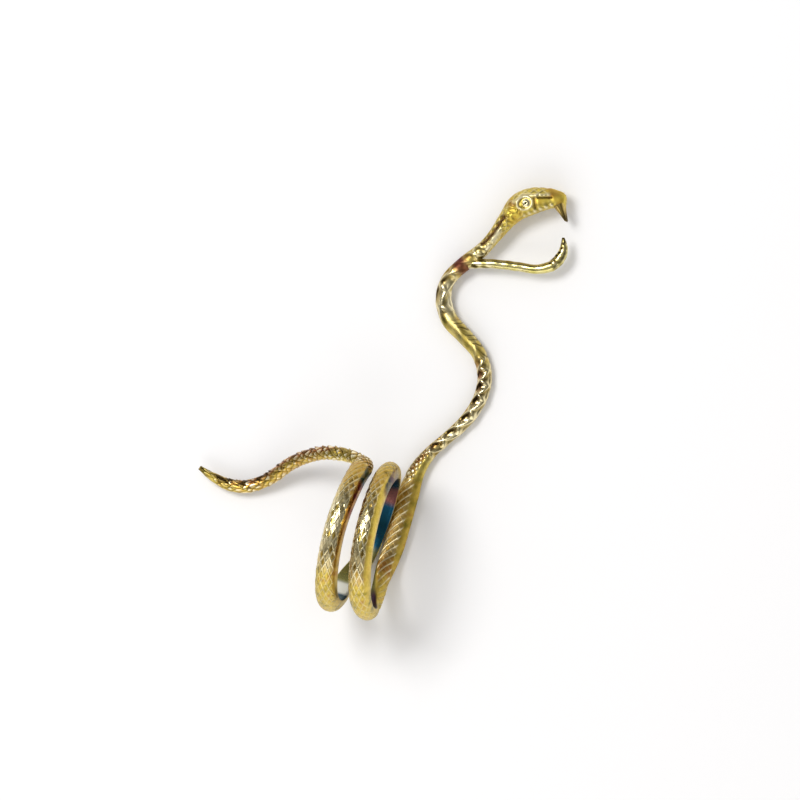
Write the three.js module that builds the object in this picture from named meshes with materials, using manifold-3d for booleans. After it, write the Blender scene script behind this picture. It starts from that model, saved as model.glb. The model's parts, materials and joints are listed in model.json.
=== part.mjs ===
// Snake ring: one yellow brass casting. A half-round snake body winds twice round the finger, its tail
// trails along the finger, and its neck runs off the coil at a tangent, in an S, to an open-mouthed head.
// Millimetres. X is the finger's axis, the ring lies on its side on z = 0, and the origin is at the middle
// of the bottom of its box. The coil's own centre is worked from first, and the solid is moved at the end.
import * as THREE from "three";
import { mergeVertices } from "three/addons/utils/BufferGeometryUtils.js";
import Module from "manifold-3d";

const BORE_RADIUS = 8.7; // the finger hole's, to the polished belly of the body
const THICK = 2.1; // the half-round body, belly to back
const WIDE = 3.0; // and side to side
const CORE = BORE_RADIUS + THICK / 2; // to the middle of the body's thickness
const FLOOR = -(BORE_RADIUS + THICK); // height of the surface it lies on, from the coil's centre
const NECK_HEIGHT = FLOOR + 1.15; // the middle of the neck, which lies along that surface
const HEAD_HEIGHT = FLOOR + 2.3; // the middle of the head, whose far cheek touches it
const FLAT_BELLY = 0.14; // share of a section's thickness below its widest line: nearly all is dome
const ROUND = 0.5; // the same share of a round section
const SECTION_SIDES = 16;
const FINE_SIDES = 10; // of the jaw, tail and fangs
const COIL_STEPS = 5; // stations to each row of a table
const PLAIN_STEPS = 4;

// The body round the finger. turn: degrees from the top of the first turn, through its front (90),
// bottom (180) and back (270). along: place on the finger's axis. out: from that axis to the middle of the
// body. roll: how far the back of the snake has turned away from facing straight out; it rolls over past
// the foot of the second turn, so that its scales face inward and its belly lies on the surface.
const COIL = [
  { turn: 0, along: -3.5, out: CORE, roll: 0, wide: 2.9, thick: 2, belly: 0.25 },
  { turn: 45, along: -3.45, out: CORE, roll: 0, wide: 3.05, thick: THICK, belly: FLAT_BELLY },
  { turn: 90, along: -3.6, out: CORE, roll: 0, wide: WIDE, thick: THICK, belly: FLAT_BELLY },
  { turn: 135, along: -3.4, out: CORE, roll: 0, wide: 3.1, thick: THICK, belly: FLAT_BELLY },
  { turn: 180, along: -3.2, out: CORE, roll: 0, wide: 3.1, thick: THICK, belly: FLAT_BELLY },
  { turn: 225, along: -3.1, out: CORE, roll: 0, wide: WIDE, thick: THICK, belly: FLAT_BELLY },
  { turn: 247, along: -2.15, out: CORE, roll: 0, wide: WIDE, thick: THICK, belly: FLAT_BELLY },
  { turn: 270, along: -1.55, out: CORE, roll: 0, wide: WIDE, thick: THICK, belly: FLAT_BELLY },
  { turn: 315, along: -0.75, out: CORE, roll: 0, wide: WIDE, thick: THICK, belly: FLAT_BELLY },
  { turn: 360, along: -0.1, out: CORE, roll: 0, wide: WIDE, thick: THICK, belly: FLAT_BELLY },
  { turn: 405, along: 0.12, out: CORE, roll: 0, wide: 2.9, thick: THICK, belly: FLAT_BELLY },
  { turn: 450, along: 0.55, out: CORE, roll: 0, wide: WIDE, thick: THICK, belly: FLAT_BELLY },
  { turn: 495, along: 1.25, out: CORE, roll: 0, wide: 3.1, thick: THICK, belly: FLAT_BELLY },
  { turn: 540, along: 2, out: 9.6, roll: -12, wide: 2.7, thick: 1.9, belly: 0.25 },
  { turn: 562, along: 1.8, out: 9.65, roll: -40, wide: 2.5, thick: 2, belly: 0.35 },
  { turn: 585, along: 1.45, out: 9.75, roll: -80, wide: 2.6, thick: 2.2, belly: 0.4 },
  { turn: 607, along: 1.2, out: 9.6, roll: -125, wide: 3.1, thick: 2.1, belly: ROUND },
  { turn: 630, along: 1.45, out: 9.62, roll: -158, wide: WIDE, thick: THICK, belly: ROUND },
];

// The neck and head, from the tangent point on. roll: how far the back of the snake has turned from facing
// straight up, which is -90 where the crown of the head lies level.
const NECK_AND_HEAD = [
  { x: 1.48, y: 3.6, z: NECK_HEIGHT + 0.03, roll: 20, wide: WIDE, thick: THICK, belly: ROUND },
  { x: 1.45, y: 7.2, z: NECK_HEIGHT, roll: 16, wide: WIDE, thick: THICK, belly: ROUND },
  { x: 1.7, y: 10.4, z: NECK_HEIGHT, roll: 5, wide: 2.35, thick: 2, belly: ROUND },
  { x: 2.75, y: 13.2, z: NECK_HEIGHT - 0.1, roll: -10, wide: 1.8, thick: 1.8, belly: ROUND },
  { x: 4.6, y: 16, z: NECK_HEIGHT - 0.2, roll: -30, wide: 1.7, thick: 1.7, belly: ROUND },
  { x: 6.35, y: 18.9, z: NECK_HEIGHT - 0.15, roll: -50, wide: 1.85, thick: 1.85, belly: ROUND },
  { x: 7.3, y: 22, z: NECK_HEIGHT - 0.1, roll: -65, wide: 1.95, thick: 1.95, belly: ROUND },
  { x: 7.1, y: 25.1, z: NECK_HEIGHT - 0.1, roll: -78, wide: 2, thick: 2, belly: ROUND },
  { x: 5.5, y: 27.8, z: NECK_HEIGHT, roll: -88, wide: 2.1, thick: 2, belly: ROUND },
  { x: 2.9, y: 29.6, z: NECK_HEIGHT, roll: -90, wide: 2.2, thick: 2.2, belly: ROUND },
  { x: 0.4, y: 31.2, z: NECK_HEIGHT, roll: -90, wide: 2.2, thick: 2.3, belly: ROUND },
  { x: -1.05, y: 33.6, z: NECK_HEIGHT + 0.15, roll: -90, wide: 2.2, thick: 2.2, belly: ROUND },
  { x: -1.05, y: 36.3, z: NECK_HEIGHT + 0.4, roll: -90, wide: 2.1, thick: 2, belly: ROUND },
  { x: 0.5, y: 38.9, z: NECK_HEIGHT + 0.7, roll: -90, wide: 2.1, thick: 2.05, belly: ROUND },
  { x: 2.3, y: 41.2, z: HEAD_HEIGHT - 0.2, roll: -90, wide: 2.2, thick: 2, belly: ROUND },
  { x: 3.6, y: 43.7, z: HEAD_HEIGHT, roll: -90, wide: 2.6, thick: 2.1, belly: ROUND },
  { x: 4.6, y: 46.1, z: HEAD_HEIGHT, roll: -90, wide: 3.6, thick: 2.7, belly: 0.48 },
  { x: 5.7, y: 48.15, z: HEAD_HEIGHT, roll: -90, wide: 4.6, thick: 3.7, belly: 0.45 },
  { x: 7.25, y: 49.4, z: HEAD_HEIGHT, roll: -90, wide: 4.2, thick: 3.8, belly: 0.4 },
  { x: 8.95, y: 50.15, z: HEAD_HEIGHT, roll: -90, wide: 3.5, thick: 3.2, belly: 0.35 },
  { x: 10.25, y: 50.4, z: HEAD_HEIGHT, roll: -90, wide: 2.9, thick: 2.65, belly: 0.35 },
  { x: 11.1, y: 50.25, z: HEAD_HEIGHT, roll: -90, wide: 2.4, thick: 2.4, belly: 0.4 },
  { x: 11.5, y: 50.1, z: HEAD_HEIGHT, roll: -90, wide: 1.7, thick: 1.8, belly: ROUND },
];

// The tail, from its tip to the top of the first turn, with the coil's columns.
const TAIL = [
  { turn: -72, along: -26.95, out: 9.85, roll: 125, wide: 0.6, thick: 0.6, belly: ROUND },
  { turn: -76.5, along: -24.9, out: 9.9, roll: 125, wide: 1.2, thick: 1.2, belly: ROUND },
  { turn: -79, along: -22.3, out: 9.9, roll: 120, wide: 1.7, thick: 1.6, belly: ROUND },
  { turn: -75.5, along: -19.7, out: 9.85, roll: 115, wide: 1.9, thick: 1.7, belly: ROUND },
  { turn: -64, along: -17.1, out: 9.8, roll: 100, wide: 1.9, thick: 1.8, belly: ROUND },
  { turn: -46, along: -14.7, out: 9.8, roll: 80, wide: 1.9, thick: 1.85, belly: ROUND },
  { turn: -29, along: -12, out: 9.85, roll: 50, wide: 1.9, thick: 1.85, belly: ROUND },
  { turn: -13, along: -9, out: 9.95, roll: 20, wide: 2, thick: 1.85, belly: 0.45 },
  { turn: -2, along: -6, out: 10, roll: 0, wide: 2.2, thick: 1.85, belly: 0.35 },
  { turn: 8, along: -3.9, out: CORE, roll: 0, wide: 2.2, thick: 1.7, belly: 0.35 },
];

// The lower jaw, a slender polished wire from the fork in the throat to its upturned tip.
const LOWER_JAW = [
  { x: -0.7, y: 38, z: NECK_HEIGHT + 0.5, wide: 1.1, thick: 1.1 },
  { x: 1.3, y: 39.05, z: HEAD_HEIGHT - 0.3, wide: 1.3, thick: 1.3 },
  { x: 4.25, y: 39.85, z: HEAD_HEIGHT, wide: 1.3, thick: 1.25 },
  { x: 7.2, y: 40.35, z: HEAD_HEIGHT, wide: 1.3, thick: 1.15 },
  { x: 10, y: 40.7, z: HEAD_HEIGHT, wide: 1.3, thick: 1.2 },
  { x: 11.9, y: 41.55, z: HEAD_HEIGHT, wide: 1.5, thick: 1.45 },
  { x: 12.9, y: 43, z: HEAD_HEIGHT, wide: 1.55, thick: 1.4 },
  { x: 13, y: 44.5, z: HEAD_HEIGHT, wide: 1.1, thick: 1 },
  { x: 12.56, y: 45.75, z: HEAD_HEIGHT, wide: 0.4, thick: 0.4 },
];

const FANG_LENGTH = 2.5; // its root is sunk in the snout
const FANG_ROOT_RADIUS = 0.62;
const FANG_TIP_RADIUS = 0.13;
const FANG_SPREAD = 0.6; // from the middle of the head to each fang
const FANG_ROOT = new THREE.Vector3(10.9, 49.85, HEAD_HEIGHT);
const FANG_DROP = new THREE.Vector3(1, -1.25, 0).normalize();
const EYE_RADIUS = 0.78;
const EYE_SPREAD = 1.5; // from the middle of the head to each eye's centre
const EYE_PLACE = new THREE.Vector3(6.75, 48.85, HEAD_HEIGHT);

const degrees = THREE.MathUtils.degToRad;

// Each column of a table, read at a fraction of the way between rows on a Catmull-Rom curve.
function between(rows, reached) {
  const first = Math.min(Math.floor(reached), rows.length - 2);
  const t = reached - first;
  const near = [-1, 0, 1, 2].map((step) => rows[THREE.MathUtils.clamp(first + step, 0, rows.length - 1)]);
  const values = {};
  for (const column of Object.keys(rows[0])) {
    const [a, b, c, d] = near.map((row) => row[column]);
    values[column] =
      b + 0.5 * t * (c - a + t * (2 * a - 5 * b + 4 * c - d + t * (3 * (b - c) + d - a)));
  }
  return values;
}

// A table's stations: so many steps from each row to the next, each put in its place.
function stationsOf(rows, steps, place) {
  const stations = [];
  for (let i = 0; i <= (rows.length - 1) * steps; i += 1) {
    const values = between(rows, i / steps);
    stations.push({ ...values, ...place(values) });
  }
  return stations;
}

// A place round the finger, whose back faces straight out.
function roundFinger({ turn, along, out }) {
  const facing = new THREE.Vector3(0, Math.cos(degrees(turn)), Math.sin(degrees(turn)));
  const centre = facing.clone().multiplyScalar(out);
  centre.x = along;
  return { centre, facing };
}

// A place given straight, whose back faces up.
function inSpace({ x, y, z }) {
  return { centre: new THREE.Vector3(x, y, z), facing: new THREE.Vector3(0, 0, 1) };
}

// One point of a section: a half ellipse above its widest line, and below it an ellipse that squares off
// as the belly gets flatter.
function sectionPoint({ wide, thick, belly }, angle) {
  const across = Math.cos(angle);
  const rise = Math.sin(angle);
  const widest = (belly - 0.5) * thick;
  if (rise >= 0) return [(wide / 2) * across, widest + (1 - belly) * thick * rise];
  const power = THREE.MathUtils.mapLinear(belly, FLAT_BELLY, ROUND, 0.5, 1);
  const squared = (value) => Math.sign(value) * Math.abs(value) ** power;
  return [(wide / 2) * squared(across), widest + belly * thick * squared(rise)];
}

// A body along the stations, closed at each end by a fan to the end's centre.
function sweep(stations, sides) {
  const points = [];
  stations.forEach((station, i) => {
    const before = stations[Math.max(i - 1, 0)].centre;
    const after = stations[Math.min(i + 1, stations.length - 1)].centre;
    const ahead = after.clone().sub(before).normalize();
    const back = station.facing.clone().addScaledVector(ahead, -station.facing.dot(ahead)).normalize();
    back.applyAxisAngle(ahead, degrees(station.roll));
    const side = ahead.clone().cross(back);
    for (let k = 0; k < sides; k += 1) {
      const [across, up] = sectionPoint(station, (2 * Math.PI * k) / sides);
      points.push(station.centre.clone().addScaledVector(side, across).addScaledVector(back, up));
    }
  });
  const triangles = [];
  const last = (stations.length - 1) * sides;
  points.push(stations[0].centre, stations[stations.length - 1].centre);
  for (let k = 0; k < sides; k += 1) {
    const next = (k + 1) % sides;
    for (let ring = 0; ring < last; ring += sides)
      triangles.push(
        [ring + k, ring + sides + k, ring + next],
        [ring + next, ring + sides + k, ring + sides + next],
      );
    triangles.push([points.length - 2, k, next], [points.length - 1, last + next, last + k]);
  }
  const geometry = new THREE.BufferGeometry().setFromPoints(points);
  geometry.setIndex(triangles.flat());
  return geometry;
}

const wasm = await Module();
wasm.setup();

function solid(geometry) {
  const bare = geometry.clone();
  bare.deleteAttribute("normal");
  bare.deleteAttribute("uv");
  const merged = mergeVertices(bare, 1e-4);
  return new wasm.Manifold(
    new wasm.Mesh({
      numProp: 3,
      vertProperties: merged.attributes.position.array,
      triVerts: new Uint32Array(merged.index.array),
    }),
  );
}

function geometryOf(made) {
  const { vertProperties, triVerts } = made.getMesh();
  const geometry = new THREE.BufferGeometry();
  geometry.setAttribute("position", new THREE.BufferAttribute(vertProperties, 3));
  geometry.setIndex(new THREE.BufferAttribute(triVerts, 1));
  return geometry;
}

// The coil, neck and head are one unbroken body, so their stations are joined end to end.
function bodySolid() {
  const coil = stationsOf(COIL, COIL_STEPS, roundFinger);
  const neckAndHead = stationsOf(NECK_AND_HEAD, PLAIN_STEPS, inSpace);
  return solid(sweep([...coil, ...neckAndHead], SECTION_SIDES));
}

function tailSolid() {
  return solid(sweep(stationsOf(TAIL, PLAIN_STEPS, roundFinger), FINE_SIDES));
}

function lowerJawSolid() {
  const rows = LOWER_JAW.map((row) => ({ ...row, roll: 0, belly: ROUND }));
  return solid(sweep(stationsOf(rows, PLAIN_STEPS, inSpace), FINE_SIDES));
}

// A fang on one side of the head: a cone with its root in the snout.
function fangSolid(hand) {
  const cone = new THREE.CylinderGeometry(FANG_TIP_RADIUS, FANG_ROOT_RADIUS, FANG_LENGTH, FINE_SIDES);
  const turn = new THREE.Quaternion().setFromUnitVectors(new THREE.Vector3(0, 1, 0), FANG_DROP);
  cone.applyQuaternion(turn);
  const middle = FANG_ROOT.clone().addScaledVector(FANG_DROP, FANG_LENGTH / 2);
  cone.translate(middle.x, middle.y, middle.z + hand * FANG_SPREAD);
  return solid(cone);
}

function eyeSolid(hand) {
  const ball = new THREE.SphereGeometry(EYE_RADIUS, 14, 8);
  ball.translate(EYE_PLACE.x, EYE_PLACE.y, EYE_PLACE.z + hand * EYE_SPREAD);
  return solid(ball);
}

const brass = new THREE.MeshStandardMaterial({ color: 0xc4ac62, roughness: 0.35, metalness: 1 });

function makeSnake() {
  let made = bodySolid().add(tailSolid()).add(lowerJawSolid());
  for (const hand of [-1, 1]) made = made.add(fangSolid(hand)).add(eyeSolid(hand));
  const geometry = geometryOf(made);
  geometry.computeBoundingBox();
  const middle = geometry.boundingBox.getCenter(new THREE.Vector3());
  geometry.translate(-middle.x, -middle.y, -geometry.boundingBox.min.z);
  geometry.computeVertexNormals();
  const snake = new THREE.Mesh(geometry, brass);
  snake.name = "snake";
  return snake;
}

const ring = new THREE.Group();
ring.add(makeSnake());

export default ring;
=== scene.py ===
import json

import bpy
import numpy as np
from mathutils import Matrix


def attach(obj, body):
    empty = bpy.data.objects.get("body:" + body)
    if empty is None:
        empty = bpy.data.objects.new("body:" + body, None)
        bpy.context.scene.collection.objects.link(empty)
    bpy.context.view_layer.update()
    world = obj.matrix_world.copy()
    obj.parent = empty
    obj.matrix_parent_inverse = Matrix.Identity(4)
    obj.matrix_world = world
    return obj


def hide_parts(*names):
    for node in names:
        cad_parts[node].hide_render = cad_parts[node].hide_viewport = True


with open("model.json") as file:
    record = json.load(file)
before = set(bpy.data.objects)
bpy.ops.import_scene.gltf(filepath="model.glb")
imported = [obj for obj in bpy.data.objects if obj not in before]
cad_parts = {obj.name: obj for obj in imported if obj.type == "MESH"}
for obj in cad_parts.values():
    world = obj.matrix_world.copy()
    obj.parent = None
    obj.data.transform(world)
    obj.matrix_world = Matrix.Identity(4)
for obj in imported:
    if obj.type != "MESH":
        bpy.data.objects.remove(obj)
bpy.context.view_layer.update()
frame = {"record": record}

# ---- Viewpoint
# The ring lies on its side and is seen from high above. The lens leans over the second turn and is
# rolled, so that the coil stands nearly upright and the neck runs off to the upper right.
MM = 0.001
COIL_CENTRE = np.array(frame["record"]["mounts"][0]["pos_m"])  # the middle of the finger hole
LEAN = np.radians(10)
ROLL = np.radians(15.5)
LOOK_ACROSS = -1.39  # from the coil's centre to the middle of the view, mm
LOOK_ALONG = 18.98
VIEW_WIDTH = 106.67  # mm, at the coil
LENS = 600  # focal length, mm
SENSOR = 36  # mm
FARTHEST = 20  # m

toward_lens = np.array((np.sin(LEAN), 0, np.cos(LEAN)))
level = np.array((np.cos(LEAN), 0, -np.sin(LEAN)))
up_the_neck = np.array((0, 1, 0))
lens_right = np.cos(ROLL) * level + np.sin(ROLL) * up_the_neck
lens_up = np.cos(ROLL) * up_the_neck - np.sin(ROLL) * level
looked_at = COIL_CENTRE + MM * (LOOK_ACROSS * level + LOOK_ALONG * up_the_neck)

lens = bpy.data.cameras.new("lens")
lens.lens = LENS
lens.sensor_width = SENSOR
lens.clip_end = FARTHEST
camera = bpy.data.objects.new("camera", lens)
stand = np.eye(4)
stand[:3, :3] = np.column_stack((lens_right, lens_up, toward_lens))
stand[:3, 3] = looked_at + toward_lens * MM * VIEW_WIDTH * LENS / SENSOR
camera.matrix_world = Matrix(stand.tolist())
bpy.context.scene.collection.objects.link(camera)
bpy.context.scene.camera = camera


# ---- Floor and studio
# A plain white table, a small softbox high on the left, and a long white card low beyond the coil. The
# studio is pale at the table and overhead, with a broad dark band between that gives the metal contrast.
def linear(hex_colour):
    """An sRGB hex colour as linear red, green, blue and a full alpha."""
    share = np.array([int(hex_colour[i : i + 2], 16) for i in (0, 2, 4)]) / 255
    value = np.where(share <= 0.04045, share / 12.92, ((share + 0.055) / 1.055) ** 2.4)
    return (*value.tolist(), 1.0)


def add(tree, kind, sockets=None, **settings):
    """One shader node with its settings; each socket takes a value, or an output to link from."""
    node = tree.nodes.new("ShaderNode" + kind)
    for name, value in settings.items():
        setattr(node, name, value)
    for name, value in (sockets or {}).items():
        if isinstance(value, bpy.types.NodeSocket):
            tree.links.new(value, node.inputs[name])
        else:
            node.inputs[name].default_value = value
    return node


def set_stops(ramp, stops):
    """Gives a colour ramp its stops, each a place from 0 to 1 and a hex colour."""
    elements = ramp.color_ramp.elements
    while len(elements) < len(stops):
        elements.new(0.5)
    for element, (place, colour) in zip(elements, stops):
        element.position = place
        element.color = linear(colour)


TABLE_SIZE = 6.0  # m
TABLE_COLOUR = "F2F1F1"

table_mesh = bpy.data.meshes.new("table")
reach = TABLE_SIZE / 2
table_mesh.from_pydata(
    [(-reach, -reach, 0), (reach, -reach, 0), (reach, reach, 0), (-reach, reach, 0)], [], [(0, 1, 2, 3)]
)
table = bpy.data.objects.new("table", table_mesh)
bpy.context.scene.collection.objects.link(table)
paper = bpy.data.materials.new("matt_white_paper")
paper.use_nodes = True
paper_shader = paper.node_tree.nodes["Principled BSDF"]
paper_shader.inputs["Base Color"].default_value = linear(TABLE_COLOUR)
paper_shader.inputs["Roughness"].default_value = 0.9
paper_shader.inputs["Specular IOR Level"].default_value = 0.1
table_mesh.materials.append(paper)


def softbox(name, azimuth, elevation, distance, size, watts):
    """A soft area light that faces the ring from a bearing, measured from +X round to +Y, in degrees."""
    light = bpy.data.lights.new(name, "AREA")
    light.shape = "RECTANGLE"
    light.size, light.size_y = size
    light.energy = watts
    box = bpy.data.objects.new(name, light)
    turn, rise = np.radians(azimuth), np.radians(elevation)
    outward = np.array((np.cos(turn) * np.cos(rise), np.sin(turn) * np.cos(rise), np.sin(rise)))
    sideways = np.array((-np.sin(turn), np.cos(turn), 0))
    placed = np.eye(4)
    placed[:3, :3] = np.column_stack((sideways, np.cross(outward, sideways), outward))
    placed[:3, 3] = outward * distance
    box.matrix_world = Matrix(placed.tolist())
    box.visible_camera = False
    bpy.context.scene.collection.objects.link(box)


softbox("key_box", azimuth=150, elevation=64, distance=0.6, size=(0.26, 0.2), watts=1.9)
softbox("coil_side_card", azimuth=-85, elevation=28, distance=0.7, size=(0.9, 0.5), watts=1.8)

# What the metal reflects, by height from the table, 0, to straight overhead, 1.
WALLS = [(0.0, "C9C9C9"), (0.3, "B4B4B4"), (0.45, "6E6C66"), (0.82, "6E6C66"), (0.95, "C0C0C0")]
FILL = "CACACA"  # the even light that falls on the table
BACKDROP = "F4F4F4"
world = bpy.data.worlds.new("studio")
world.use_nodes = True
bpy.context.scene.world = world
sky = world.node_tree
sky.nodes.clear()
bearing = add(sky, "TexCoord")
split = add(sky, "SeparateXYZ", {"Vector": bearing.outputs["Generated"]})
walls = add(sky, "ValToRGB", {"Fac": split.outputs["Z"]})
set_stops(walls, WALLS)
seen = add(sky, "LightPath")
fill = add(
    sky,
    "MixRGB",
    {"Fac": seen.outputs["Is Diffuse Ray"], "Color1": walls.outputs["Color"], "Color2": linear(FILL)},
)
shown = add(
    sky,
    "MixRGB",
    {"Fac": seen.outputs["Is Camera Ray"], "Color1": fill.outputs["Color"], "Color2": linear(BACKDROP)},
)
glow = add(sky, "Background", {"Color": shown.outputs["Color"], "Strength": 1.0})
add(sky, "OutputWorld", {"Surface": glow.outputs["Background"]})
bpy.context.scene.view_settings.view_transform = "Standard"

# ---- Body of the snake
# One casting in yellow brass: a half-round strip, flat and polished on the belly and scaled on the back,
# wound round the finger. It runs off the coil into the neck and head, so one line carries all three.
BORE_RADIUS = 8.7
THICK = 2.1
WIDE = 3.0
CORE = BORE_RADIUS + THICK / 2
FLOOR = -(BORE_RADIUS + THICK)
NECK_HEIGHT = FLOOR + 1.15
HEAD_HEIGHT = FLOOR + 2.3
FLAT_BELLY = 0.14  # share of the thickness below the widest line
ROUND = 0.5  # the same share where the section is round
PER_ROW = 60  # readings worked out from each row to the next
FINE_STEP = 0.065  # between stations of the finished skin, mm


def rows(names, *lines):
    """A table with named columns, one line to a section of the casting."""
    return dict(zip(names.split(), np.array(lines, float).T))


# By turn, in degrees round the finger from the way that the neck runs: the place along the finger's axis
# and out from it, the roll of the back about the path, the width and thickness, and the share of the
# thickness that is below the widest line.
COIL = rows(
    "turn along out roll wide thick belly",
    (1, -4.6, CORE, 0, 0.9, 0.9, ROUND),
    (5, -4.05, CORE, 0, 1.9, 1.6, 0.4),
    (14, -3.45, CORE, 0, 2.95, 2, 0.2),
    (45, -3.45, CORE, 0, 3.05, THICK, FLAT_BELLY),
    (90, -3.6, CORE, 0, WIDE, THICK, FLAT_BELLY),
    (135, -3.4, CORE, 0, 3.1, THICK, FLAT_BELLY),
    (180, -3.2, CORE, 0, 3.1, THICK, FLAT_BELLY),
    (225, -3.1, CORE, 0, WIDE, THICK, FLAT_BELLY),
    (247, -2.15, CORE, 0, WIDE, THICK, FLAT_BELLY),
    (270, -1.55, CORE, 0, WIDE, THICK, FLAT_BELLY),
    (315, -0.75, CORE, 0, WIDE, THICK, FLAT_BELLY),
    (360, -0.1, CORE, 0, WIDE, THICK, FLAT_BELLY),
    (405, 0.12, CORE, 0, 2.9, THICK, FLAT_BELLY),
    (450, 0.55, CORE, 0, WIDE, THICK, FLAT_BELLY),
    (495, 1.25, CORE, 0, 3.1, THICK, FLAT_BELLY),
    (540, 2, 9.6, -12, 2.7, 1.9, 0.25),
    (562, 1.8, 9.65, -40, 2.5, 2, 0.35),
    (585, 1.45, 9.75, -80, 2.6, 2.2, 0.4),
    (607, 1.2, 9.6, -125, 3.1, THICK, ROUND),
    (630, 1.45, 9.62, -158, WIDE, THICK, ROUND),
)

# The same off the finger, where x is along its axis, y along the neck, and z up from the axis.
NECK_AND_HEAD = rows(
    "x y z roll wide thick belly",
    (1.48, 3.6, NECK_HEIGHT + 0.03, 20, WIDE, THICK, ROUND),
    (1.45, 7.2, NECK_HEIGHT, 16, WIDE, THICK, ROUND),
    (1.7, 10.4, NECK_HEIGHT, 5, 2.35, 2, ROUND),
    (2.75, 13.2, NECK_HEIGHT - 0.1, -10, 1.8, 1.8, ROUND),
    (4.6, 16, NECK_HEIGHT - 0.2, -30, 1.7, 1.7, ROUND),
    (6.35, 18.9, NECK_HEIGHT - 0.15, -50, 1.85, 1.85, ROUND),
    (7.3, 22, NECK_HEIGHT - 0.1, -65, 1.95, 1.95, ROUND),
    (7.1, 25.1, NECK_HEIGHT - 0.1, -78, 2, 2, ROUND),
    (5.5, 27.8, NECK_HEIGHT, -88, 2.1, 2, ROUND),
    (2.9, 29.6, NECK_HEIGHT, -90, 2.2, 2.2, ROUND),
    (0.4, 31.2, NECK_HEIGHT, -90, 2.2, 2.3, ROUND),
    (-1.05, 33.6, NECK_HEIGHT + 0.15, -90, 2.2, 2.2, ROUND),
    (-1.05, 36.3, NECK_HEIGHT + 0.4, -90, 2.1, 2, ROUND),
    (0.5, 38.9, NECK_HEIGHT + 0.7, -90, 2.1, 2.05, ROUND),
    (2.3, 41.2, HEAD_HEIGHT - 0.2, -90, 2.2, 2, ROUND),
    (3.6, 43.7, HEAD_HEIGHT, -90, 2.6, 2.1, ROUND),
    (4.6, 46.1, HEAD_HEIGHT, -90, 3.6, 2.7, 0.48),
    (5.7, 48.15, HEAD_HEIGHT, -90, 4.6, 3.7, 0.45),
    (7.25, 49.4, HEAD_HEIGHT, -90, 4.2, 3.8, 0.4),
    (8.95, 50.15, HEAD_HEIGHT, -90, 3.5, 3.2, 0.35),
    (10.25, 50.4, HEAD_HEIGHT, -90, 2.9, 2.65, 0.35),
    (11.05, 50.33, HEAD_HEIGHT, -90, 2.5, 2.5, 0.42),
    (11.5, 50.38, HEAD_HEIGHT, -90, 2.0, 2.1, ROUND),
    (11.7, 50.41, HEAD_HEIGHT, -90, 1.1, 1.3, ROUND),
)
COIL_ROWS = len(COIL["turn"])


def smoothed(table, per_row):
    """So many readings from each row to the next, on the Catmull-Rom cubic through each column, whose
    slope at a row is half the step from the row before it to the row after."""
    count = len(next(iter(table.values())))
    reached = np.arange((count - 1) * per_row + 1) / per_row
    first = np.minimum(reached.astype(int), count - 2)
    t = reached - first
    values = {"row": reached}
    for name, column in table.items():
        a, b, c, d = (column[np.clip(first + step, 0, count - 1)] for step in (-1, 0, 1, 2))
        bend = 2 * a - 5 * b + 4 * c - d + t * (3 * (b - c) + d - a)
        values[name] = b + 0.5 * t * (c - a + t * bend)
    return values


def heading(middle):
    """The unit direction of travel at each station."""
    ahead = np.gradient(middle, axis=0)
    return ahead / np.linalg.norm(ahead, axis=1, keepdims=True)


def squared_up(back, ahead):
    """The backs, made square to the direction of travel and of unit length."""
    back = back - ahead * np.sum(back * ahead, axis=1, keepdims=True)
    return back / np.linalg.norm(back, axis=1, keepdims=True)


def stood(values, middle, facing):
    """Adds each station's middle and its back: the way it faces, rolled about the direction of travel."""
    ahead = heading(middle)
    back = squared_up(facing, ahead)
    roll = np.radians(values["roll"])[:, None]
    back = back * np.cos(roll) + np.cross(ahead, back) * np.sin(roll)
    return {**values, "middle": middle, "back": back}


def round_finger(values):
    """Stations on the finger's round, which face straight out from its axis before they are rolled."""
    turn = np.radians(values["turn"])
    facing = np.column_stack((0 * turn, np.cos(turn), np.sin(turn)))
    middle = facing * values["out"][:, None]
    middle[:, 0] = values["along"]
    return stood(values, middle, facing)


def in_the_open(values):
    """Stations given straight, which face up before they are rolled."""
    middle = np.column_stack((values["x"], values["y"], values["z"]))
    return stood(values, middle, np.full_like(middle, (0, 0, 1)))


def evenly(line, step):
    """The same line with its stations a step apart; passed is the length from its start."""
    gaps = np.linalg.norm(np.diff(line["middle"], axis=0), axis=1)
    passed = np.concatenate(([0], np.cumsum(gaps)))
    wanted = np.linspace(0, passed[-1], int(passed[-1] / step) + 1)
    spread = {"passed": wanted}
    for name, column in line.items():
        columns = column.reshape(len(passed), -1).T
        spread[name] = np.stack([np.interp(wanted, passed, each) for each in columns], -1)
        if column.ndim == 1:
            spread[name] = spread[name][:, 0]
    return spread


coil_line = round_finger(smoothed(COIL, PER_ROW))
neck_line = in_the_open(smoothed(NECK_AND_HEAD, PER_ROW))
neck_line["row"] = neck_line["row"] + COIL_ROWS
whole_line = {
    name: np.concatenate((coil_line[name], neck_line[name]))
    for name in ("row", "middle", "back", "wide", "thick", "belly")
}
body = evenly(whole_line, FINE_STEP)
body["turn"] = np.interp(body["row"], np.arange(COIL_ROWS), COIL["turn"])

# ---- Coil
# The half-round brass strip wound round the finger, begun inside the tail. Its back is chased with a net
# of thin raised lines that meet in long diamonds, its flanks are smooth, and its flat belly is polished.
# The belly is painted by turn with the reflections that its polish shows, and where the key light is
# reflected the diamonds carry painted highlights, with painted shade in the slits beside their lines.
LINE_HEIGHT = 0.18
PILLOW = 0.12  # how far each diamond swells between its lines
TILT = 0.26  # the most tilted dark diamond falls by half of this from side to side
BACK_SIDES = 80
BELLY_SIDES = 12
TURN_SPLIT = 11.0  # the row at turn 360, where the second turn begins
COIL_END = COIL_ROWS + 1.6
JOINT_REACH = 0.5  # how far to each side of a joint the relief is eased, mm
JOINT_DEEP = 0.08
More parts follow.
